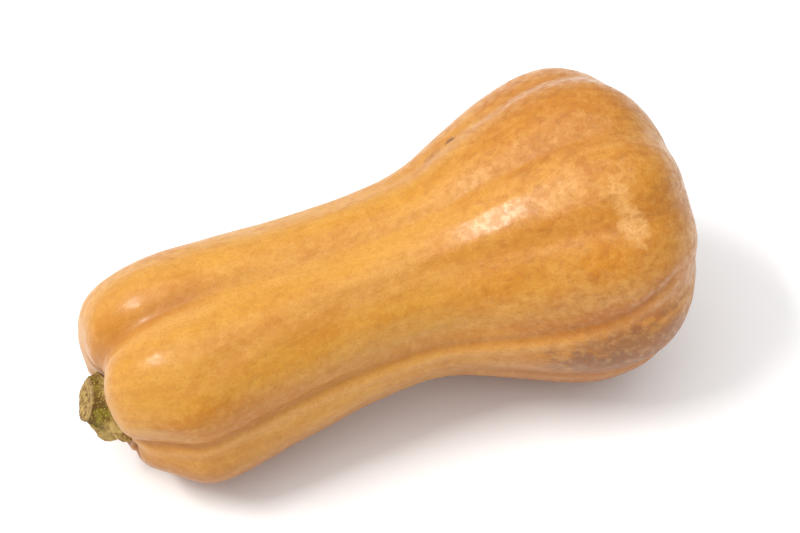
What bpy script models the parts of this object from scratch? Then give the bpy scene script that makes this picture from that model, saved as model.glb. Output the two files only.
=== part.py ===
"""A butternut squash as picked, lying on its side with a short stub of its stem.

The fruit is one solid and the woody stem is another. X runs along the fruit, from the stem end
to the blossom end, Y runs across it and Z is up. The origin is on the floor, under the middle of
the object's box. Lengths below are in millimetres and angles in degrees, and both are turned
into metres and radians as the meshes are made.
"""

import math

import bmesh
import bpy

MM = 0.001
WELD_DISTANCE = 0.001

# The fruit's outline: how far along it each point lies, and how far out from its axis. It starts
# at the bottom of the stem hollow and ends at the bottom of the blossom dimple.
FRUIT_OUTLINE = [
    (6.6, 0.0),
    (6.2, 8.0),
    (4.6, 15.0),
    (0.4, 22.5),
    (2.8, 32.6),
    (14.0, 40.3),
    (30.0, 45.2),
    (60.0, 42.8),
    (100.0, 39.3),
    (130.0, 40.7),
    (155.0, 50.3),
    (185.0, 61.8),
    (209.5, 60.4),
    (226.8, 45.7),
    (235.5, 24.7),
    (235.5, 10.0),
    (232.5, 0.0),
]
FRUIT_STEPS = 3
FRUIT_SEGMENTS = 80

# The line through the middles of the fruit's sections wanders a little: along, across, up.
SPINE = [
    (0.0, 3.6, 2.3),
    (30.0, 0.0, 0.0),
    (120.0, 1.1, 1.7),
    (185.0, 0.0, 0.0),
    (235.0, -5.2, 0.0),
]

# Five lobes at the stem end, which turn into ten shallow ribs on the bulb.
LOBES = 5
GROOVE_ANGLE = 96.0
LOBE_DEPTH_AT_NECK = 0.13
LOBE_DEPTH_AT_BULB = 0.03
RIB_DEPTH_AT_BULB = 0.035
RIBS_START = 20.0
RIBS_FULL = 170.0
MEAN_GROOVE = 0.4

# One groove lies lower at the stem end than even spacing would put it, so the lobe above it is
# the largest: the groove's angle if evenly spaced, how far it has moved, and the move's reach.
LOW_GROOVE_ANGLE = 168.0
LOW_GROOVE_SHIFT = 12.0
LOW_GROOVE_REACH = 72.0
LOW_GROOVE_FADES = 110.0

# One lobe stands forward at the stem end, and hides part of the stem's foot.
END_LOBE_RISE = 5.7
END_LOBE_ANGLE = 132.0
END_LOBE_INNER = 14.8
END_LOBE_OUTER = 25.0
END_LOBE_FADES = 14.0
END_LOBE_GONE = 40.0

# One side of the blossom end's shoulder has grown fuller than the rest.
SHOULDER_SWELL = 0.02
SHOULDER_ANGLE = 50.0
SHOULDER_STARTS = 185.0
SHOULDER_FULL = 215.0

# The stem end is not square to the fruit. Its slant is how far along a point at the end moves for
# each millimetre that it lies across or up, and the slant fades out over its reach.
END_SLANT = (-0.18, -0.08)
END_SLANT_REACH = 45.0

# The stem hollow is off the middle of its end.
HOLLOW_SHIFT = (-5.6, -11.7)
HOLLOW_SHIFT_ENDS = 14.0
HOLLOW_RIM_INNER = 14.0
HOLLOW_RIM_OUTER = 42.0

# The fruit lies on two spots, which its own weight has pressed flat while it grew.
GROUND_SPOT_DEPTH = 1.2
NECK_ENDS = 90.0
BULB_STARTS = 150.0

# How far along the foot's underside ends, and its rim and the cut lie.
UNDERSIDE_ENDS = 4.4
FOOT_RIM = -1.6
STEM_CUT = -9.4

# The stem's outline, from the middle of its foot to the middle of its cut end.
STEM_OUTLINE = [
    (6.1, 0.0),
    (5.7, 5.0),
    (UNDERSIDE_ENDS, 8.5),
    (1.0, 11.0),
    (FOOT_RIM, 12.8),
    (-3.4, 12.4),
    (-4.6, 11.0),
    (-6.0, 9.4),
    (-7.4, 8.4),
    (-8.8, 8.0),
    (STEM_CUT, 7.7),
    (STEM_CUT, 4.2),
    (STEM_CUT, 0.0),
]
STEM_STEPS = 2
STEM_SEGMENTS = 50

# Five ridges run along the stem and end in the five toes of its foot, which are longest below.
STEM_RIDGE_ANGLE = 262.0
STEM_RIDGE_AT_FOOT = 0.22
STEM_RIDGE_AT_CUT = 0.05
LONG_TOE_ANGLE = 250.0
LONG_TOE_SHARE = 0.9

# The stem's foot is slanted, it leans away from square, and its cut has a slant of its own.
FOOT_SLANT = (-0.18, 0.25)
STEM_LEAN = (4.0, 10.5)
CUT_SLANT = (0.11, 0.47)

# The finishes: colour and roughness. An edge shows as sharp where its faces turn by more than the
# angle.
SKIN_COLOUR = (0.80, 0.42, 0.12, 1.0)
SKIN_ROUGHNESS = 0.45
SKIN_SHARP_ANGLE = 60.0
STEM_COLOUR = (0.24, 0.19, 0.06, 1.0)
STEM_ROUGHNESS = 0.85
STEM_SHARP_ANGLE = 40.0


def clear_scene():
    for old in list(bpy.data.objects):
        bpy.data.objects.remove(old, do_unlink=True)


def between(low, high, value):
    """0 below low, 1 above high, and a smooth rise from one to the other."""
    t = min(max((value - low) / (high - low), 0.0), 1.0)
    return t * t * (3.0 - 2.0 * t)


def curve_point(before, start, end, after, t):
    """A point on the smooth curve from start to end, which heads the way its neighbours lie."""
    point = []
    for p0, p1, p2, p3 in zip(before, start, end, after):
        turn = 2.0 * p0 - 5.0 * p1 + 4.0 * p2 - p3
        swing = 3.0 * (p1 - p2) + p3 - p0
        point.append(p1 + 0.5 * t * ((p2 - p0) + t * (turn + t * swing)))
    return point


def smooth_outline(outline, steps):
    """The outline as a smooth curve that crosses the axis squarely at both of its ends."""
    first = (outline[1][0], -outline[1][1])
    last = (outline[-2][0], -outline[-2][1])
    points = [first, *outline, last]
    curve = []
    for i in range(1, len(points) - 2):
        for step in range(steps):
            along, out = curve_point(*points[i - 1 : i + 3], step / steps)
            curve.append((along, max(out, 0.0)))
    curve.append(outline[-1])
    return curve


def spine_at(along):
    """How far the middle of the section lies across and up from the axis."""
    along = min(max(along, SPINE[0][0]), SPINE[-1][0])
    i = max(k for k in range(len(SPINE) - 1) if SPINE[k][0] <= along)
    before = SPINE[max(i - 1, 0)]
    after = SPINE[min(i + 2, len(SPINE) - 1)]
    t = (along - SPINE[i][0]) / (SPINE[i + 1][0] - SPINE[i][0])
    return curve_point(before, SPINE[i], SPINE[i + 1], after, t)[1:]


def groove(count, angle):
    """1 along each of the grooves, which fades to 0 on the crests between them."""
    return (0.5 + 0.5 * math.cos(count * (angle - math.radians(GROOVE_ANGLE)))) ** 2


def lobe_angle(along, angle):
    """The angle that a point would have if the lobes at the stem end were evenly spaced."""
    away = math.degrees(angle) - LOW_GROOVE_ANGLE - LOW_GROOVE_SHIFT
    away = abs((away + 180.0) % 360.0 - 180.0)
    held = 1.0 - between(0.0, LOW_GROOVE_REACH, away)
    held *= 1.0 - between(0.0, LOW_GROOVE_FADES, along)
    return angle - math.radians(LOW_GROOVE_SHIFT) * held


def lobed_radius(along, out, angle):
    to_ribs = between(RIBS_START, RIBS_FULL, along)
    lobes = LOBE_DEPTH_AT_NECK + (LOBE_DEPTH_AT_BULB - LOBE_DEPTH_AT_NECK) * to_ribs
    ribs = RIB_DEPTH_AT_BULB * to_ribs
    swell = lobes * (MEAN_GROOVE - groove(LOBES, lobe_angle(along, angle)))
    swell += ribs * (MEAN_GROOVE - groove(2 * LOBES, angle))
    facing = max(math.cos(angle - math.radians(SHOULDER_ANGLE)), 0.0) ** 2
    shoulder = SHOULDER_SWELL * facing * between(SHOULDER_STARTS, SHOULDER_FULL, along)
    return out * (1.0 + swell + shoulder)


def lobe_rise(along, out, angle):
    """How far forward a point stands because it is on the lobe that hides the stem's foot."""
    share = between(END_LOBE_INNER, END_LOBE_OUTER, out)
    share *= 1.0 - between(END_LOBE_FADES, END_LOBE_GONE, along)
    facing = max(math.cos(angle - math.radians(END_LOBE_ANGLE)), 0.0) ** 2
    return END_LOBE_RISE * share * facing * (1.0 - groove(LOBES, lobe_angle(along, angle)))


def slanted(along, across, up):
    """How far along a point lies once the stem end is slanted."""
    reach = min(max(1.0 - along / END_SLANT_REACH, 0.0), 1.0) ** 2
    return along + reach * (END_SLANT[0] * across + END_SLANT[1] * up)


def hollow_shift(along, out):
    """How far across and up a point moves because the stem hollow is off the middle."""
    if along > HOLLOW_SHIFT_ENDS:
        return 0.0, 0.0
    held = 1.0 - between(HOLLOW_RIM_INNER, HOLLOW_RIM_OUTER, out)
    return held * HOLLOW_SHIFT[0], held * HOLLOW_SHIFT[1]


def fruit_point(along, out, angle):
    out_here = lobed_radius(along, out, angle)
    across = out_here * math.cos(angle)
    up = out_here * math.sin(angle)
    shift_across, shift_up = hollow_shift(along, out)
    middle_across, middle_up = spine_at(along)
    return (
        slanted(along, across, up) - lobe_rise(along, out, angle),
        middle_across + across + shift_across,
        middle_up + up + shift_up,
    )


def stem_point(along, out, angle):
    to_rim = between(-UNDERSIDE_ENDS, -FOOT_RIM, -along)
    to_cut = between(-FOOT_RIM, -STEM_CUT, -along)
    leant = between(-UNDERSIDE_ENDS, -STEM_CUT, -along)
    toe = 1.0 + LONG_TOE_SHARE * math.cos(angle - math.radians(LONG_TOE_ANGLE))
    ridge = STEM_RIDGE_AT_FOOT * toe * (1.0 - to_cut) + STEM_RIDGE_AT_CUT * to_cut
    ridge_turn = LOBES * (angle - math.radians(STEM_RIDGE_ANGLE))
    out_here = out * (1.0 + ridge * math.cos(ridge_turn))
    across = out_here * math.cos(angle)
    up = out_here * math.sin(angle)
    on_hollow = slanted(along, across, up)
    on_foot = along + FOOT_SLANT[0] * across + FOOT_SLANT[1] * up
    on_cut = along + CUT_SLANT[0] * across + CUT_SLANT[1] * up
    below_rim = on_hollow + (on_foot - on_hollow) * to_rim
    middle_across, middle_up = spine_at(FRUIT_OUTLINE[0][0])
    return (
        below_rim + (on_cut - below_rim) * to_cut,
        middle_across + HOLLOW_SHIFT[0] + across + STEM_LEAN[0] * leant,
        middle_up + HOLLOW_SHIFT[1] + up + STEM_LEAN[1] * leant,
    )


def turned_mesh(name, outline, segments, place):
    """Spins an outline about the X axis and moves each point to where place puts it."""
    bm = bmesh.new()
    verts = [bm.verts.new((along, out, 0.0)) for along, out in outline]
    edges = [bm.edges.new(pair) for pair in zip(verts, verts[1:])]
    bmesh.ops.spin(
        bm,
        geom=verts + edges,
        cent=(0.0, 0.0, 0.0),
        axis=(1.0, 0.0, 0.0),
        angle=2.0 * math.pi,
        steps=segments,
        use_merge=True,
    )
    bmesh.ops.remove_doubles(bm, verts=bm.verts, dist=WELD_DISTANCE)
    for vert in bm.verts:
        along, across, up = vert.co
        vert.co = place(along, math.hypot(across, up), math.atan2(up, across))
    bmesh.ops.recalc_face_normals(bm, faces=bm.faces)
    mesh = bpy.data.meshes.new(name)
    bm.to_mesh(mesh)
    bm.free()
    return mesh


def lowest(mesh, start, end):
    """The lowest vertex between two places along the fruit, as (along, height)."""
    near = [vert.co for vert in mesh.vertices if start <= vert.co.x <= end]
    low = min(near, key=lambda co: co.z)
    return low.x, low.z


def lay_down(fruit, stem):
    """Lowers and tips both meshes until the neck and the bulb each stand in the floor by the
    depth of a ground spot, and presses the fruit flat where it would go below the floor."""
    neck_along, neck_low = lowest(fruit, 0.0, NECK_ENDS)
    bulb_along, bulb_low = lowest(fruit, BULB_STARTS, FRUIT_OUTLINE[-1][0])
    tip = (bulb_low - neck_low) / (bulb_along - neck_along)
    for mesh in (fruit, stem):
        for vert in mesh.vertices:
            vert.co.z -= neck_low + tip * (vert.co.x - neck_along) + GROUND_SPOT_DEPTH
    for vert in fruit.vertices:
        vert.co.z = max(vert.co.z, 0.0)


def centre_over_origin(meshes):
    """Moves the meshes so that the middle of their box is over the origin, and makes metres of
    the millimetres."""
    corners = [vert.co for mesh in meshes for vert in mesh.vertices]
    middle_x = 0.5 * (min(co.x for co in corners) + max(co.x for co in corners))
    middle_y = 0.5 * (min(co.y for co in corners) + max(co.y for co in corners))
    for mesh in meshes:
        for vert in mesh.vertices:
            vert.co.x -= middle_x
            vert.co.y -= middle_y
            vert.co *= MM


def finish(name, colour, roughness):
    material = bpy.data.materials.new(name)
    material.use_nodes = True
    shader = material.node_tree.nodes["Principled BSDF"]
    shader.inputs["Base Color"].default_value = colour
    shader.inputs["Roughness"].default_value = roughness
    shader.inputs["Metallic"].default_value = 0.0
    return material


def add_object(name, mesh, material, sharp_degrees):
    mesh.materials.append(material)
    mesh.shade_smooth()
    mesh.set_sharp_from_angle(angle=math.radians(sharp_degrees))
    made = bpy.data.objects.new(name, mesh)
    bpy.context.scene.collection.objects.link(made)
    return made


def main():
    clear_scene()
    fruit_curve = smooth_outline(FRUIT_OUTLINE, FRUIT_STEPS)
    stem_curve = smooth_outline(STEM_OUTLINE, STEM_STEPS)
    fruit = turned_mesh("fruit", fruit_curve, FRUIT_SEGMENTS, fruit_point)
    stem = turned_mesh("stem", stem_curve, STEM_SEGMENTS, stem_point)
    lay_down(fruit, stem)
    centre_over_origin([fruit, stem])
    skin = finish("squash_skin", SKIN_COLOUR, SKIN_ROUGHNESS)
    wood = finish("dry_stem", STEM_COLOUR, STEM_ROUGHNESS)
    add_object("fruit", fruit, skin, SKIN_SHARP_ANGLE)
    add_object("stem", stem, wood, STEM_SHARP_ANGLE)


main()
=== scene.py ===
"""A ripe butternut squash lying on a pale floor: a waxy, mottled rind and a dry, speckled stem.

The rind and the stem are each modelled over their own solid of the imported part. Lengths are in
metres in the part's own frame: X runs from the stem to the blossom end and Z is up. Only the
creases, the relief and the patterns are in millimetres. Angles are in degrees, and colours are
0 to 255 screen values.
"""

import math
from types import SimpleNamespace

import bpy
import numpy as np
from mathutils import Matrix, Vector, noise


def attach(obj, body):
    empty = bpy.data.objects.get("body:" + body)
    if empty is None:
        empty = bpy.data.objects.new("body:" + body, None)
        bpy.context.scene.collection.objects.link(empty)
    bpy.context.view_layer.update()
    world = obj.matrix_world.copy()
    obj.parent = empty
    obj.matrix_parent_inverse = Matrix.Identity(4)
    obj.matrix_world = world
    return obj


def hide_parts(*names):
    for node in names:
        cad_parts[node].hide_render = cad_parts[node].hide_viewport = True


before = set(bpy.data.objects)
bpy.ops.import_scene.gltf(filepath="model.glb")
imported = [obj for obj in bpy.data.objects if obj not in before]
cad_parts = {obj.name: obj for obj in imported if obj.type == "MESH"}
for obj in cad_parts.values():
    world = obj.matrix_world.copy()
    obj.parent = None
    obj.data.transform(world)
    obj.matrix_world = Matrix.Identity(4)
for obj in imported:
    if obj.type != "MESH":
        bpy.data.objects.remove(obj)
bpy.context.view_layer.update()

MM = 0.001

# The line through the middles of the fruit's sections, from the stem end to the blossom end.
CORE_LINE = [
    (-0.1115, 0.0040, 0.0455),
    (-0.0815, 0.0005, 0.0465),
    (0.0085, 0.0015, 0.0570),
    (0.0735, 0.0005, 0.0620),
    (0.1235, -0.0045, 0.0670),
]

# The grain goes round the core line at this radius, and it runs on along the fruit where the
# rind turns in towards either end.
GRAIN_RADIUS = 0.045
GRAIN_TURNS_IN = 0.9

# The paths of the creases on the seen side: the angle about the core line, at places along it.
LOW_CREASE = [
    (-0.104, 182),
    (-0.094, 178),
    (-0.077, 174),
    (-0.045, 171),
    (-0.030, 171),
    (-0.004, 174),
    (0.024, 176),
    (0.050, 174),
    (0.080, 168),
    (0.103, 156),
]
MIDDLE_CREASE = [(-0.079, 131), (-0.047, 122), (0.012, 123), (0.047, 128), (0.090, 131)]
HIGH_CREASE = [(-0.113, 98), (-0.083, 91), (0.011, 92), (0.065, 96), (0.100, 97)]
HIGH_CREASE_START = [(-0.113, 99), (-0.083, 92), (-0.060, 91)]

# Every crease between the lobes: where it starts and ends, its depth and half width in
# millimetres, and its path. It fades in and out over a short stretch at its ends.
CREASES = [
    (-0.135, 0.112, 0.95, 2.4, LOW_CREASE),
    (-0.090, 0.100, 0.28, 3.2, MIDDLE_CREASE),
    (-0.135, 0.110, 0.30, 3.4, HIGH_CREASE),
    (-0.135, -0.060, 0.80, 4.0, HIGH_CREASE_START),
    (0.050, 0.112, 0.25, 3.0, [(0.030, 61), (0.100, 60)]),
    (-0.135, 0.112, 0.60, 3.0, [(-0.105, 22), (0.000, 26), (0.100, 24)]),
    (0.030, 0.112, 0.50, 2.8, [(0.030, 346), (0.100, 348)]),
    (-0.135, 0.112, 0.70, 3.0, [(-0.105, 313), (0.000, 309), (0.100, 312)]),
    (0.030, 0.112, 0.45, 3.0, [(0.030, 278), (0.100, 276)]),
    (-0.135, 0.112, 0.70, 2.8, [(-0.105, 240), (0.000, 243), (0.100, 240)]),
    (0.020, 0.112, 0.60, 2.6, [(0.020, 206), (0.100, 203)]),
]
CREASE_FADES = 0.02

# Each crease has a raised lip on one side and a coloured bank on the other. How far away they
# are, and how wide the bank is, are in half widths of the crease. The lip's height is a share of
# the crease's depth.
LIP_SHARE = 0.45
LIP_AWAY = 1.7
BANK_AWAY = 1.6
BANK_WIDTH = 2.0

# The rind's unevenness: the size and the height of each kind of lump, in millimetres. The folds
# and the welts are drawn out along the fruit, and the folds are higher on the bulb.
FOLD_SIZE = 6.0
FOLD_HEIGHT = 0.14
FOLD_HEIGHT_ADDED_ON_BULB = 0.14
FOLD_STRETCH = (0.12, 1.0, 1.0)
WELT_SIZE = 2.4
WELT_HEIGHT = 0.035
WELT_SHRINK = 1.8
DENT_SIZE = 22.0
DENT_HEIGHT = 0.55
DIMPLE_SIZE = 9.0
DIMPLE_HEIGHT = 0.14

# The rind keeps its solid's shape below the first of these heights, where it lies on the floor,
# and has its full relief above the second. Both are in millimetres.
RELIEF_STARTS = 0.2
RELIEF_FULL = 3.0

# How far along the fruit the bulb's relief and the bulb's colour are full.
BULB_RELIEF_FULL = 0.07
BULB_TONE_FULL = 0.08

# The underside is darker brown, partly the rind's own tone and partly painted shade. Its colour goes by
# height, as a share of a side height that grows along the bulb.
SIDE_HEIGHT = 0.09
SIDE_HEIGHT_GROWS = 0.35
UNDERSIDE_FULL = 0.2
UNDERSIDE_GONE = 0.6

# The colours of the rind.
RIND_GOLD = (191, 134, 42)
RIND_PALE_GOLD = (202, 145, 55)
BULB_AMBER = (184, 120, 33)
CLOUD_OCHRE = (182, 114, 20)
FILM_PINK = (198, 144, 70)
STREAK_BROWN = (172, 104, 24)
BANK_OCHRE = (176, 106, 18)
# the underside's darker brown: partly the rind's own tone, partly painted shade
UNDERSIDE_TONE_AND_SHADE = (150, 90, 46)
FLECK_BROWN = (150, 88, 22)
MOTTLE_BROWN = (160, 92, 22)
MOTTLE_PALE = (214, 156, 66)
# painted shade down in the creases
CREASE_PAINTED_SHADE = (156, 92, 26)
# a painted highlight along the raised lips of the creases
LIP_PAINTED_HIGHLIGHT = (210, 158, 96)
FIBRE_PALE = (214, 164, 94)
PORE_PALE = (222, 178, 112)
SPECK_BROWN = (166, 102, 40)

# Patches of colour laid on the rind, most of them its own colour and two of them a painted highlight:
# middle, reach along each axis, strength, colour.
PATCHES = [
    # ochre on the shoulder and the side of the bulb, and low on the neck
    ((0.0735, -0.0490, 0.1000), (0.014, 0.011, 0.010), 0.60, (186, 116, 12)),
    ((0.0800, -0.0570, 0.0740), (0.026, 0.012, 0.012), 0.75, (172, 98, 16)),
    ((0.0960, -0.0480, 0.0840), (0.018, 0.014, 0.016), 0.55, (168, 96, 18)),
    ((0.0500, -0.0500, 0.0700), (0.024, 0.012, 0.006), 0.55, (178, 104, 20)),
    ((-0.0760, -0.0390, 0.0630), (0.036, 0.016, 0.012), 0.85, (178, 110, 4)),
    # the deeper tone on top of the bulb
    ((0.0750, 0.0150, 0.1250), (0.050, 0.040, 0.030), 0.45, (172, 108, 36)),
    # brown and greyish weathering low on the bulb
    ((0.0850, -0.0580, 0.0560), (0.036, 0.018, 0.020), 0.80, (126, 76, 36)),
    ((0.0680, -0.0600, 0.0500), (0.034, 0.014, 0.012), 0.72, (116, 82, 56)),
    # a painted highlight: two pale spots on the side of the bulb
    ((0.0880, -0.0430, 0.1088), (0.007, 0.011, 0.010), 0.50, (236, 186, 120)),
    ((0.0850, -0.0340, 0.1165), (0.006, 0.010, 0.008), 0.34, (232, 180, 112)),
    # the blossom's scar, and a small dark scar on the bulb with its brown surround
    ((0.1220, -0.0046, 0.0669), (0.0100, 0.0050, 0.0050), 0.80, (116, 84, 48)),
    ((0.0425, 0.0280, 0.1017), (0.0048, 0.0016, 0.0020), 0.80, (84, 54, 36)),
    ((0.0330, 0.0260, 0.0985), (0.0070, 0.0045, 0.0035), 0.45, (146, 90, 48)),
]

# The rind is dull where its wax has rubbed off: middle and reach along each axis.
DULL_SPOT = ((0.0450, 0.0050, 0.1080), (0.046, 0.015, 0.030))

# The stem's core, from the bottom of its hollow to the middle of its cut, and how the cut faces.
STEM_FOOT = (-0.1056, -0.0018, 0.0342)
STEM_CUT = (-0.1216, 0.0023, 0.0431)
CUT_FACING = (-0.90, 0.10, 0.42)
STEM_RADIUS = 0.009

# The stem's relief: the size and the height of its ribs, warts and ragged cuff, and of the
# fibres of its cut, whose pith is sunk between an inner and an outer radius. All but the wart's
# share, which is of the warts' spacing, are in millimetres.
RIB_SIZE = 1.5
RIB_HEIGHT = 0.38
FINE_RIB_SIZE = 0.6
FINE_RIB_HEIGHT = 0.14
WART_SPACING = 1.5
WART_SHARE = 0.45
WART_HEIGHT = 0.16
CUFF_INNER = 9.5
CUFF_OUTER = 12.5
CUFF_LUMP_SIZE = 1.6
CUFF_LUMP_HEIGHT = 0.55
PITH_DEPTH = 0.9
PITH_INNER = 1.0
PITH_OUTER = 6.0
FIBRE_SIZE = 0.9
FIBRE_HEIGHT = 0.22
FIBRE_STRETCH = (1.0, 1.0, 0.16)

# The colours of the stem.
STEM_OLIVE = (122, 108, 22)
STEM_BROWN = (98, 68, 24)
RIB_BROWN = (74, 58, 20)
WART_PALE = (178, 158, 74)
SCURF_PALE = (164, 140, 66)
CORK_PALE = (190, 160, 96)
CORK_BROWN = (140, 106, 52)
CUT_TAN = (182, 150, 88)
CUT_BROWN = (112, 80, 36)
CUT_STAIN = (148, 122, 70)
CUT_RIM = (92, 66, 38)
CUT_EDGE = (112, 60, 32)

# The setting: a white floor under a white surround, a far window and a soft light overhead.
FLOOR_SIZE = 8.0
FLOOR_WHITE = (0.91, 0.91, 0.915, 1.0)
SURROUND_STRENGTH = 0.62
LIT_POINT = (0.0, 0.0, 0.06)
WINDOW_TOWARDS = (-0.559, 0.099, 0.823)
WINDOW_TINT = (1.0, 0.985, 0.96)
OVERHEAD_TOWARDS = (-0.05, -0.1, 1.0)
OVERHEAD_TINT = (1.0, 1.0, 1.0)

CAMERA_ELEVATION = 52.0
CAMERA_TURN = 21.3
CAMERA_DISTANCE = 0.8
CAMERA_AIM = (0.0, 0.0, 0.045)
CAMERA_LENS = 89.2
CAMERA_SENSOR = 36.0
CAMERA_SHIFT = (0.0305, 0.0574)


# ---------------------------------------------------------------- pieces


def select_only(piece):
    bpy.ops.object.select_all(action="DESELECT")
    piece.select_set(True)
    bpy.context.view_layer.objects.active = piece


def apply_all(piece):
    select_only(piece)
    for modifier in list(piece.modifiers):
        bpy.ops.object.modifier_apply(modifier=modifier.name)


def welded_copy(node, name):
    """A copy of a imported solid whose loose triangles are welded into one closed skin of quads."""
    piece = bpy.data.objects.new(name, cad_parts[node].data.copy())
    piece.data.materials.clear()
    bpy.context.scene.collection.objects.link(piece)
    select_only(piece)
    bpy.ops.mesh.customdata_custom_splitnormals_clear()
    bpy.ops.object.mode_set(mode="EDIT")
    bpy.ops.mesh.select_all(action="SELECT")
    bpy.ops.mesh.remove_doubles(threshold=0.01 * MM)
    bpy.ops.mesh.tris_convert_to_quads(
        face_threshold=math.radians(40.0), shape_threshold=math.radians(60.0)
    )
    bpy.ops.object.mode_set(mode="OBJECT")
    return piece


def subdivided(piece, levels):
    modifier = piece.modifiers.new("finer", "SUBSURF")
    modifier.levels = levels
    modifier.render_levels = levels
    apply_all(piece)
    select_only(piece)
    bpy.ops.object.shade_smooth()
    return piece


def read_points(piece):
    points = np.empty(len(piece.data.vertices) * 3)
    piece.data.vertices.foreach_get("co", points)
    return points.reshape(-1, 3)


def read_normals(piece):
    normals = np.empty(len(piece.data.vertices) * 3, np.float32)
    piece.data.vertices.foreach_get("normal", normals)
    return normals.reshape(-1, 3).astype(float)


def write_points(piece, points):
    piece.data.vertices.foreach_set("co", points.astype(np.float32).ravel())
    piece.data.update()


def keep_vectors(piece, name, vectors):
    layer = piece.data.attributes.new(name, "FLOAT_VECTOR", "POINT")
    layer.data.foreach_set("vector", vectors.astype(np.float32).ravel())


def keep_values(piece, name, values):
    layer = piece.data.attributes.new(name, "FLOAT", "POINT")
    layer.data.foreach_set("value", values.astype(np.float32))


def ease(low, high, values):
    """0 below low, 1 above high, and a smooth rise from one to the other."""
    t = np.clip((values - low) / (high - low), 0.0, 1.0)
    return t * t * (3.0 - 2.0 * t)


def lumps(points, size, seed):
    """Smooth noise from -1 to 1 whose lumps are about one size across, in millimetres."""
    offset = Vector((seed * 7.3, seed * 3.1, seed * 5.7))
    return np.array([noise.noise(Vector(p) / (size * MM) + offset) for p in points])


def around_core(points):
    """Each point's angle about the core line, and its distance out from it."""
    line = np.array(CORE_LINE)
    across = points[:, 1] - np.interp(points[:, 0], line[:, 0], line[:, 1])
    up = points[:, 2] - np.interp(points[:, 0], line[:, 0], line[:, 2])
    return np.arctan2(up, across), np.hypot(across, up)


def grain_of(points):
    """Coordinates that follow the rind: along it, and two more that go once round it."""
    angle, out = around_core(points)
    along = points[:, 0] + GRAIN_TURNS_IN * (out - GRAIN_RADIUS) * np.sign(points[:, 0])
    return np.stack([along, GRAIN_RADIUS * np.cos(angle), GRAIN_RADIUS * np.sin(angle)], axis=1)


# ---------------------------------------------------------------- rind


def creases_at(points):
    """How deep in a crease, how high on the lip beyond it and how far on the bank before it each
    point lies, in millimetres."""
    along = points[:, 0]
    angle, out = around_core(points)
    crease = np.zeros(len(points))
    lip = np.zeros(len(points))
    bank = np.zeros(len(points))
    for start, end, depth, half_width, path in CREASES:
        path_along = [place for place, _ in path]
        path_angle = [math.radians(degrees) for _, degrees in path]
        turn = angle - np.interp(along, path_along, path_angle)
        turn = (turn + math.pi) % (2.0 * math.pi) - math.pi
        away = turn * out / (half_width * MM)
        starts = ease(start, start + CREASE_FADES, along)
        ends = ease(end - CREASE_FADES, end, along)
        depth_here = depth * starts * (1.0 - ends)
        crease += depth_here * np.exp(-(away**2))
        lip += depth_here * np.exp(-((away - LIP_AWAY) ** 2))
        bank += depth_here * np.exp(-(((away + BANK_AWAY) / BANK_WIDTH) ** 2))
    return crease, lip, bank


def rind_unevenness(points, grain):
    """The height of the folds, welts, dents and dimples of the rind, in millimetres."""
    drawn_out = grain * np.array(FOLD_STRETCH)
    on_bulb = ease(0.0, BULB_RELIEF_FULL, points[:, 0])
    fold_height = FOLD_HEIGHT + FOLD_HEIGHT_ADDED_ON_BULB * on_bulb
    folds = lumps(drawn_out, FOLD_SIZE, 1) * fold_height
    welts = lumps(drawn_out * WELT_SHRINK, WELT_SIZE, 2) * WELT_HEIGHT
    dents = lumps(points, DENT_SIZE, 3) * DENT_HEIGHT
    dimples = lumps(points, DIMPLE_SIZE, 4) * DIMPLE_HEIGHT
    return folds + welts + dents + dimples


def underside_of(points):
    """1 on the fruit's underside, which fades to 0 part of the way up its side."""
    side_height = SIDE_HEIGHT + SIDE_HEIGHT_GROWS * np.maximum(points[:, 0], 0.0)
    return 1.0 - ease(UNDERSIDE_FULL, UNDERSIDE_GONE, points[:, 2] / side_height)


def make_rind():
    rind = subdivided(welded_copy("fruit", "rind"), 2)
    points, normals = read_points(rind), read_normals(rind)
    grain = grain_of(points)
    crease, lip, bank = creases_at(points)
    off_floor = ease(RELIEF_STARTS * MM, RELIEF_FULL * MM, points[:, 2])
    relief = rind_unevenness(points, grain) + LIP_SHARE * lip - crease
    write_points(rind, points + normals * (relief * off_floor * MM)[:, None])
    keep_vectors(rind, "grain", grain)
    keep_values(rind, "crease", crease)
    keep_values(rind, "lip", lip)
    keep_values(rind, "bank", bank)
    keep_values(rind, "bulb", ease(0.0, BULB_TONE_FULL, points[:, 0]))
    keep_values(rind, "underside", underside_of(points))
    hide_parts("fruit")
    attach(rind, "root")
    return rind


# ---------------------------------------------------------------- stem


def warts(points, spacing, share):
    """Small round bumps, a spacing apart in millimetres: 1 at the middle of each, which fades to
    0 at a share of the spacing from it."""
    nearest = np.array([noise.voronoi(Vector(p) / (spacing * MM))[0][0] for p in points])
    return 1.0 - ease(0.0, share, nearest)


def around_stem(points):
    """How far each point lies along the stem's core, its offset from the core and its angle."""
    foot, cut = np.array(STEM_FOOT), np.array(STEM_CUT)
    length = np.linalg.norm(cut - foot)
    heading = (cut - foot) / length
    along = (points - foot) @ heading
    aside = points - foot - along[:, None] * heading
    across = np.cross(heading, (0.0, 0.0, 1.0))
    angle = np.arctan2(aside @ np.cross(across, heading), aside @ across)
    return along, along / length, aside, angle


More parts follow.
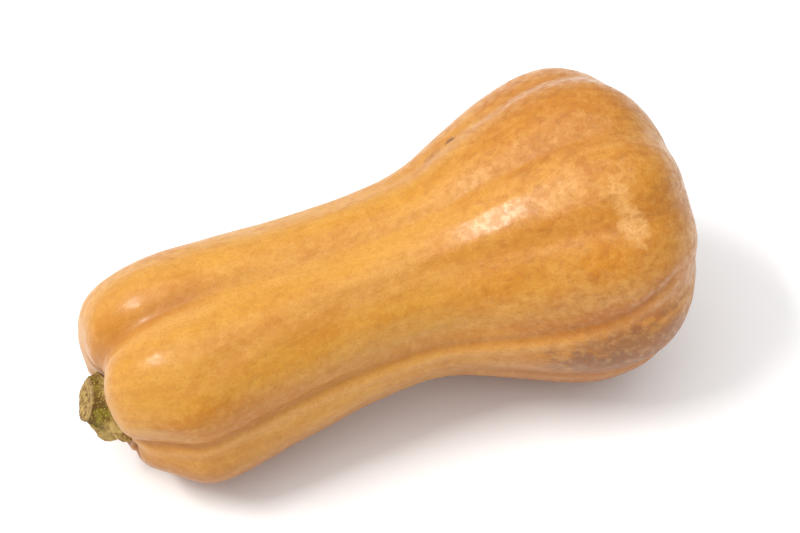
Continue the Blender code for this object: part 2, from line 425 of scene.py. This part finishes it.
def make_stem():
    stem = subdivided(welded_copy("stem", "stem_stub"), 2)
    points, normals = read_points(stem), read_normals(stem)
    along, share_along, aside, angle = around_stem(points)
    out = np.linalg.norm(aside, axis=1)
    cut_face = ease(0.78, 0.93, normals @ np.array(CUT_FACING)) * ease(0.5, 0.8, share_along)
    side = 1.0 - cut_face
    grain = np.stack([0.3 * along, STEM_RADIUS * np.cos(angle), STEM_RADIUS * np.sin(angle)], axis=1)
    cut_grain = aside * np.array(FIBRE_STRETCH)
    cuff = ease(CUFF_INNER * MM, CUFF_OUTER * MM, out) * side

    ribs = lumps(grain, RIB_SIZE, 5) * RIB_HEIGHT + lumps(grain, FINE_RIB_SIZE, 6) * FINE_RIB_HEIGHT
    bumps = warts(points, WART_SPACING, WART_SHARE) * WART_HEIGHT
    ragged = lumps(points, CUFF_LUMP_SIZE, 7) * CUFF_LUMP_HEIGHT * cuff
    pith = PITH_DEPTH * (1.0 - ease(PITH_INNER * MM, PITH_OUTER * MM, out))
    fibres = lumps(cut_grain, FIBRE_SIZE, 8) * FIBRE_HEIGHT
    relief = side * (ribs + bumps + ragged) + cut_face * (fibres - pith)
    write_points(stem, points + normals * (relief * MM)[:, None])
    keep_vectors(stem, "grain", grain)
    keep_vectors(stem, "cut_grain", cut_grain)
    keep_values(stem, "cut", cut_face)
    keep_values(stem, "cuff", cuff)
    keep_values(stem, "out", out / STEM_RADIUS)
    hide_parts("stem")
    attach(stem, "root")
    return stem


# ---------------------------------------------------------------- finishes


class Value:
    """One socket of a finish, with which shader maths is written as ordinary sums."""

    def __init__(self, finish, socket):
        self.finish = finish
        self.socket = socket

    def maths(self, operation, first, second):
        return self.finish.add("ShaderNodeMath", {"operation": operation}, [first, second])

    def __add__(self, other):
        return self.maths("ADD", self, other)

    def __sub__(self, other):
        return self.maths("SUBTRACT", self, other)

    def __rsub__(self, other):
        return self.maths("SUBTRACT", other, self)

    def __mul__(self, other):
        return self.maths("MULTIPLY", self, other)

    __radd__ = __add__
    __rmul__ = __mul__


class Finish:
    """One procedural material on the Principled shader."""

    def __init__(self, name, **constants):
        self.material = bpy.data.materials.new(name)
        self.material.use_nodes = True
        self.tree = self.material.node_tree
        self.shader = self.tree.nodes["Principled BSDF"]
        for socket, value in constants.items():
            self.shader.inputs[socket.replace("_", " ")].default_value = value

    def add(self, kind, settings=None, values=(), output=0):
        """Adds a node: its type, its settings, then the values or links of its sockets."""
        node = self.tree.nodes.new(kind)
        for setting, value in (settings or {}).items():
            setattr(node, setting, value)
        pairs = values.items() if isinstance(values, dict) else enumerate(values)
        for socket, value in pairs:
            if isinstance(value, Value):
                self.tree.links.new(value.socket, node.inputs[socket])
            else:
                node.inputs[socket].default_value = value
        return Value(self, node.outputs[output])

    def place(self):
        return self.add("ShaderNodeTexCoord", output="Object")

    def kept(self, name, output="Fac"):
        """What the piece's mesh keeps under a name."""
        return self.add("ShaderNodeAttribute", {"attribute_name": name}, output=output)

    def stretched(self, vector, scale):
        return self.add("ShaderNodeVectorMath", {"operation": "MULTIPLY"}, [vector, scale])

    def noise(self, vector, size, detail, roughness, seed=0.0):
        """Noise whose lumps are about one size across, in millimetres."""
        shifted = self.add("ShaderNodeVectorMath", {"operation": "ADD"}, [vector, (seed, seed, seed)])
        inputs = {"Vector": shifted, "Scale": 1.0 / (size * MM), "Detail": detail, "Roughness": roughness}
        return self.add("ShaderNodeTexNoise", {}, inputs)

    def dots(self, vector, spacing, middle, edge):
        """1 within the middle of each of many small dots, and 0 beyond its edge, both as shares
        of the dots' spacing, which is in millimetres."""
        inputs = {"Vector": vector, "Scale": 1.0 / (spacing * MM)}
        away = self.add("ShaderNodeTexVoronoi", {}, inputs, "Distance")
        return self.rise(away, middle, edge, 1.0, 0.0)

    def rise(self, value, low, high, start=0.0, end=1.0):
        """A smooth rise from start to end as a value goes from low to high."""
        settings = {"interpolation_type": "SMOOTHSTEP"}
        return self.add("ShaderNodeMapRange", settings, [value, low, high, start, end])

    def patch(self, place, centre, reach, ragged):
        """1 at the middle of a patch, which fades to 0 at its ragged edge."""
        away = self.add("ShaderNodeVectorMath", {"operation": "SUBTRACT"}, [place, centre])
        share = self.add("ShaderNodeVectorMath", {"operation": "DIVIDE"}, [away, reach])
        length = self.add("ShaderNodeVectorMath", {"operation": "LENGTH"}, [share], "Value")
        return self.rise(length + ragged, 0.45, 1.0, 1.0, 0.0)

    def blend(self, factor, first, second):
        return self.add("ShaderNodeMix", {"data_type": "RGBA"}, {0: factor, 6: first, 7: second}, 2)

    def layered(self, tone, layers):
        """A colour with others laid over it in turn, each by its own share."""
        for share, shade in layers:
            tone = self.blend(share, tone, colour(shade))
        return tone

    def bump(self, height, distance, strength):
        """Dents of a distance in millimetres, in the shading only."""
        inputs = {"Height": height, "Distance": distance * MM, "Strength": strength}
        return self.add("ShaderNodeBump", {}, inputs)

    def feed(self, socket, value):
        self.tree.links.new(value.socket, self.shader.inputs[socket])


def colour(shade):
    """A shader's colour from its 0 to 255 screen values."""
    shares = [channel / 255.0 for channel in shade]
    linear = [s / 12.92 if s <= 0.04045 else ((s + 0.055) / 1.055) ** 2.4 for s in shares]
    return (*linear, 1.0)


def rind_patterns(rind):
    """What the rind's colour, gloss and bump are all made from."""
    place = rind.place()
    grain = rind.kept("grain", "Vector")
    blotchy = rind.stretched(grain, (0.55, 1.0, 1.0))
    dashed = rind.stretched(grain, (0.34, 1.0, 1.0))
    long_drawn = rind.stretched(grain, (0.10, 1.0, 1.0))
    bands = rind.noise(long_drawn, size=13.0, detail=3.0, roughness=0.5)
    streaks = rind.noise(dashed, size=6.0, detail=5.0, roughness=0.62, seed=3.0)
    flecks = rind.noise(blotchy, size=3.4, detail=5.0, roughness=0.68, seed=13.0)
    clouds = rind.noise(blotchy, size=20.0, detail=4.0, roughness=0.62, seed=1.0)
    film = rind.noise(blotchy, size=26.0, detail=4.0, roughness=0.6, seed=11.0)
    edges = rind.noise(blotchy, size=5.0, detail=5.0, roughness=0.7, seed=17.0)
    return SimpleNamespace(
        place=place,
        crease=rind.kept("crease"),
        lip=rind.kept("lip"),
        bank=rind.kept("bank"),
        bulb=rind.kept("bulb"),
        underside=rind.kept("underside"),
        bands=rind.rise(bands, 0.34, 0.66),
        streaks=rind.rise(streaks, 0.44, 0.64),
        flecks=rind.rise(flecks, 0.50, 0.66),
        clouds=rind.rise(clouds, 0.46, 0.64),
        film=rind.rise(film, 0.44, 0.64),
        fibres=rind.noise(long_drawn, size=1.6, detail=3.0, roughness=0.6, seed=7.0),
        mottle=rind.noise(place, size=3.6, detail=5.0, roughness=0.70, seed=5.0),
        specks=rind.noise(place, size=1.1, detail=4.0, roughness=0.75, seed=9.0),
        pores=rind.dots(place, spacing=3.6, middle=0.04, edge=0.13),
        ragged=(edges - 0.5) * 1.8,
    )


def rind_tone(rind, on):
    tone = rind.blend(on.bands, colour(RIND_GOLD), colour(RIND_PALE_GOLD))
    ground_layers = [
        (on.bulb * 0.75, BULB_AMBER),
        (on.clouds * 0.6, CLOUD_OCHRE),
        (on.film * 0.38, FILM_PINK),
        (on.streaks * (0.20 + on.bulb * 0.26), STREAK_BROWN),
        (on.bank * 0.45, BANK_OCHRE),
    ]
    # the patches, of which the two pale spots on the side of the bulb are a painted highlight
    patch_layers = [
        (rind.patch(on.place, middle, reach, on.ragged) * strength, shade)
        for middle, reach, strength, shade in PATCHES
    ]
    fine_layers = [
        # darker brown towards the bottom: partly the rind's own tone, partly painted shade
        (on.underside * (0.74 + on.bulb * 0.08), UNDERSIDE_TONE_AND_SHADE),
        (on.flecks * (0.12 + on.bulb * 0.30), FLECK_BROWN),
        (rind.rise(on.mottle, 0.50, 0.66) * (0.16 + on.bulb * 0.24), MOTTLE_BROWN),
        (rind.rise(on.mottle, 0.36, 0.50, 1.0, 0.0) * 0.24, MOTTLE_PALE),
        # painted shade: darker brown down in the creases
        (on.crease * 0.5, CREASE_PAINTED_SHADE),
        # a painted highlight: paler along the raised lips of the creases
        (on.lip * 0.34, LIP_PAINTED_HIGHLIGHT),
        (rind.rise(on.fibres, 0.5, 0.75) * 0.10, FIBRE_PALE),
        (on.pores * 0.2, PORE_PALE),
        (rind.rise(on.specks, 0.48, 0.66) * 0.36, SPECK_BROWN),
    ]
    return rind.layered(tone, ground_layers + patch_layers + fine_layers)


def rind_wax(rind, on):
    """The coat of wax: patchy, thicker on the bulb and rubbed off below and on the dull spot."""
    patchy = rind.rise(on.mottle, 0.40, 0.58, 1.0, 0.0)
    dull = rind.patch(on.place, *DULL_SPOT, on.ragged * 0.5)
    wax = 0.18 + on.bulb * 0.04 + patchy * (0.18 + on.bulb * 0.22)
    return wax * (1.0 - on.underside * 0.7) * (1.0 - dull * 0.85)


def rind_finish():
    rind = Finish("waxy_rind", Coat_Roughness=0.19, Coat_IOR=1.45, Specular_IOR_Level=0.25)
    on = rind_patterns(rind)
    rind.feed("Base Color", rind_tone(rind, on))
    rind.feed("Roughness", 0.36 + on.bulb * 0.04 + on.mottle * 0.12)
    rind.feed("Coat Weight", rind_wax(rind, on))
    height = on.streaks * 0.25 + on.flecks * 0.35 + on.fibres * 0.15
    height = height + on.mottle * 0.7 + on.specks * 0.5 - on.pores * 0.3
    rind.feed("Normal", rind.bump(height, distance=0.4, strength=0.5))
    return rind.material


def stem_side_tone(stem, mottle, ribs, dots, scurf):
    """Olive and brown, ribbed and dotted, with a corky cuff round the foot."""
    side = stem.blend(stem.rise(mottle, 0.40, 0.58), colour(STEM_OLIVE), colour(STEM_BROWN))
    layers = [
        (stem.rise(ribs, 0.52, 0.68) * 0.5, RIB_BROWN),
        (dots * 0.62, WART_PALE),
        (scurf * 0.45, SCURF_PALE),
    ]
    side = stem.layered(side, layers)
    corky = stem.blend(stem.rise(mottle, 0.42, 0.62), colour(CORK_PALE), colour(CORK_BROWN))
    return stem.blend(stem.kept("cuff") * 0.85, side, corky)


def stem_cut_tone(stem, mottle, fibres):
    """Tan, fibrous and stained, and darker towards the rim."""
    face = stem.blend(stem.rise(fibres, 0.40, 0.62), colour(CUT_TAN), colour(CUT_BROWN))
    stain = stem.rise(mottle, 0.45, 0.65) * 0.5
    rim = stem.rise(stem.kept("out"), 0.70, 0.98) * 0.45
    return stem.layered(face, [(stain, CUT_STAIN), (rim, CUT_RIM)])


def stem_finish():
    stem = Finish("dry_stem", Specular_IOR_Level=0.3)
    place = stem.place()
    cut = stem.kept("cut")
    mottle = stem.noise(place, size=3.5, detail=4.0, roughness=0.65)
    ribs = stem.noise(stem.kept("grain", "Vector"), size=1.0, detail=4.0, roughness=0.65, seed=2.0)
    fibres = stem.noise(stem.kept("cut_grain", "Vector"), size=1.3, detail=4.0, roughness=0.6, seed=6.0)
    dots = stem.dots(place, spacing=1.2, middle=0.22, edge=0.42)
    scurf = stem.rise(stem.noise(place, size=0.6, detail=2.0, roughness=0.6, seed=4.0), 0.56, 0.66)

    side = stem_side_tone(stem, mottle, ribs, dots, scurf)
    tone = stem.blend(cut, side, stem_cut_tone(stem, mottle, fibres))
    edge = cut * (1.0 - cut) * 2.4
    stem.feed("Base Color", stem.blend(edge, tone, colour(CUT_EDGE)))
    stem.feed("Roughness", 0.72 + mottle * 0.25)
    height = ribs * 0.6 + dots * 0.5 + scurf * 0.3 + fibres * cut * 0.5
    stem.feed("Normal", stem.bump(height, distance=0.5, strength=0.8))
    return stem.material


# ---------------------------------------------------------------- setting


def make_floor():
    bpy.ops.object.select_all(action="DESELECT")
    bpy.ops.mesh.primitive_plane_add(size=FLOOR_SIZE, location=(0.0, 0.0, 0.0))
    floor = bpy.context.active_object
    floor.name = "floor"
    paper = Finish("white_paper", Base_Color=FLOOR_WHITE, Roughness=0.9, Specular_IOR_Level=0.1)
    floor.data.materials.append(paper.material)


def make_light(name, towards, distance, size, power, tint):
    """A soft rectangular light that shines on the squash from one direction."""
    data = bpy.data.lights.new(name, "AREA")
    data.shape = "RECTANGLE"
    data.size, data.size_y = size
    data.energy = power
    data.color = tint
    lamp = bpy.data.objects.new(name, data)
    direction = Vector(towards).normalized()
    lamp.location = Vector(LIT_POINT) + direction * distance
    lamp.rotation_euler = direction.to_track_quat("Z", "Y").to_euler()
    bpy.context.scene.collection.objects.link(lamp)


def make_surround():
    world = bpy.data.worlds.new("white_surround")
    world.use_nodes = True
    background = world.node_tree.nodes["Background"]
    background.inputs["Color"].default_value = (1.0, 1.0, 1.0, 1.0)
    background.inputs["Strength"].default_value = SURROUND_STRENGTH
    bpy.context.scene.world = world


def make_camera():
    """A camera that looks down on the squash from one side, with its frame shifted a little."""
    data = bpy.data.cameras.new("camera")
    data.lens = CAMERA_LENS
    data.sensor_width = CAMERA_SENSOR
    data.shift_x, data.shift_y = CAMERA_SHIFT
    camera = bpy.data.objects.new("camera", data)
    elevation, turn = math.radians(CAMERA_ELEVATION), math.radians(CAMERA_TURN)
    flat = math.cos(elevation)
    back = Vector((-math.sin(turn) * flat, -math.cos(turn) * flat, math.sin(elevation)))
    camera.location = Vector(CAMERA_AIM) + back * CAMERA_DISTANCE
    camera.rotation_euler = back.to_track_quat("Z", "Y").to_euler()
    bpy.context.scene.collection.objects.link(camera)
    bpy.context.scene.camera = camera


# ---------------------------------------------------------------- main

make_rind().data.materials.append(rind_finish())
make_stem().data.materials.append(stem_finish())

make_floor()
make_surround()
make_light("window", WINDOW_TOWARDS, distance=5.0, size=(2.2, 0.8), power=180.0, tint=WINDOW_TINT)
make_light("overhead", OVERHEAD_TOWARDS, distance=1.4, size=(1.7, 1.7), power=12.0, tint=OVERHEAD_TINT)
make_camera()
bpy.context.scene.view_settings.view_transform = "Standard"
